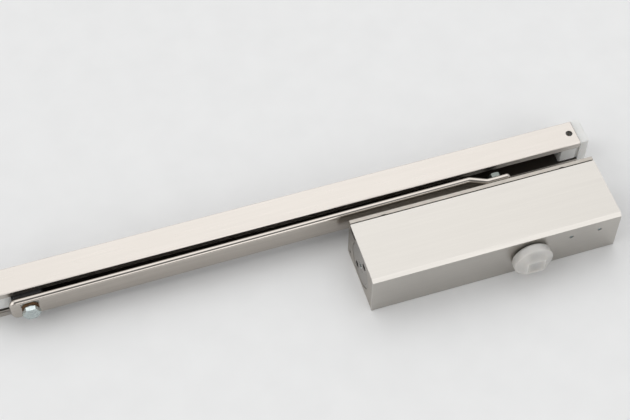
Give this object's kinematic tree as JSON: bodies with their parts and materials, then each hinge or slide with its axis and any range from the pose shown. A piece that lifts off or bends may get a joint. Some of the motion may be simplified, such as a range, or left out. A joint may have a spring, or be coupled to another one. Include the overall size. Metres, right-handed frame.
{
  "type": "overhead door closer",
  "caption": "Overhead door closer with a slide rail: a rectangular hydraulic body turns a flat cranked arm whose slide block runs in a C-section rail.",
  "frame": {"origin": "centre of the body's four mounting holes, on the mounting plane that the back of the body and of the rail share", "axes": "+X along the closer and rail, away from the arm's free end; +Y from the spindle cap towards the rail; +Z from the mounting plane out to the front"},
  "size_m": [0.4464, 0.1066, 0.038],
  "materials": {
    "cast_aluminium": "satin nickel-coloured coat on cast aluminium",
    "nickel_sheet": "satin nickel, brushed along the length",
    "nickel_bar": "satin nickel plated bar",
    "nickel_rail": "satin nickel-coloured anodised extrusion",
    "plug_steel": "turned steel",
    "plain_steel": "machined steel",
    "spring_steel": "oiled spring wire",
    "bearing_steel": "ground steel",
    "zinc_steel": "bright zinc plated",
    "bush_bronze": "sintered bronze",
    "seal_rubber": "black nitrile rubber",
    "black_plastic": "moulded black plastic",
    "white_plastic": "milky translucent plastic",
    "grey_plastic": "light grey translucent plastic"
  },
  "bodies": {
    "closer_body": {"housing": "cast_aluminium", "front_cover": "nickel_sheet", "left_plug": "plug_steel", "right_plug": "plug_steel", "plug_seals": "seal_rubber", "spring_seat": "plain_steel", "spindle_bearings": "bearing_steel", "spindle_seals": "seal_rubber", "upper_gland": "zinc_steel", "lower_gland": "zinc_steel", "valve_seals": "seal_rubber"},
    "spindle_and_arm": {"spindle": "plain_steel", "spindle_cap": "white_plastic", "slide_arm": "nickel_bar", "arm_washer": "zinc_steel", "arm_screw": "zinc_steel", "pivot_bush": "bush_bronze"},
    "piston_group": {"piston": "plain_steel", "main_spring": "spring_steel", "ball_retainer": "plain_steel"},
    "check_valve_ball": {"check_ball": "bearing_steel"},
    "closing_screw": {"closing_valve": "zinc_steel"},
    "latching_screw": {"latching_valve": "zinc_steel"},
    "spring_screw": {"power_screw": "zinc_steel"},
    "slider": {"slide_block": "black_plastic", "pivot_bolt": "zinc_steel", "pivot_washer": "zinc_steel", "slide_washer": "zinc_steel", "pivot_nut": "zinc_steel"},
    "rail": {"guide_rail": "nickel_rail", "rail_cap_left": "grey_plastic", "rail_cap_right": "grey_plastic"}
  },
  "joints": [
    {"name": "spindle_turn", "type": "hinge", "parent": "closer_body", "child": "spindle_and_arm", "pos_m": [0.0247, 0, 0.019], "axis": [0, 1, 0], "range_deg": [0, 170], "stiffness_Nm_per_rad": 4, "springref_deg": -57.3},
    {"name": "piston_slide", "type": "slide", "parent": "closer_body", "child": "piston_group", "axis": [1, 0, 0], "range_m": [-0.0268, 0], "deforming": ["main_spring"]},
    {"name": "check_ball_lift", "type": "slide", "parent": "piston_group", "child": "check_valve_ball", "axis": [1, 0, 0], "range_m": [-0.00025, 0.00025]},
    {"name": "closing_screw_turn", "type": "hinge", "parent": "closer_body", "child": "closing_screw", "pos_m": [0.055, -0.02, 0.026], "axis": [0, -1, 0], "range_deg": [-180, 180]},
    {"name": "latching_screw_turn", "type": "hinge", "parent": "closer_body", "child": "latching_screw", "pos_m": [0.0762, -0.02, 0.026], "axis": [0, -1, 0], "range_deg": [-180, 180]},
    {"name": "spring_screw_turn", "type": "hinge", "parent": "closer_body", "child": "spring_screw", "pos_m": [-0.0817, 0, 0.019], "axis": [-1, 0, 0], "range_deg": [-360, 360]},
    {"name": "slide_pivot", "type": "hinge", "parent": "spindle_and_arm", "child": "slider", "pos_m": [-0.31449, 0.04, 0.0155], "axis": [0, 1, 0], "continuous": true},
    {"name": "rail_slide", "type": "slide", "parent": "slider", "child": "rail", "axis": [-1, 0, 0], "range_m": [0, 0.382]}
  ],
  "couplings": [
    {"joint": "piston_slide", "follows": "spindle_turn", "m_per_rad": -0.009}
  ]
}
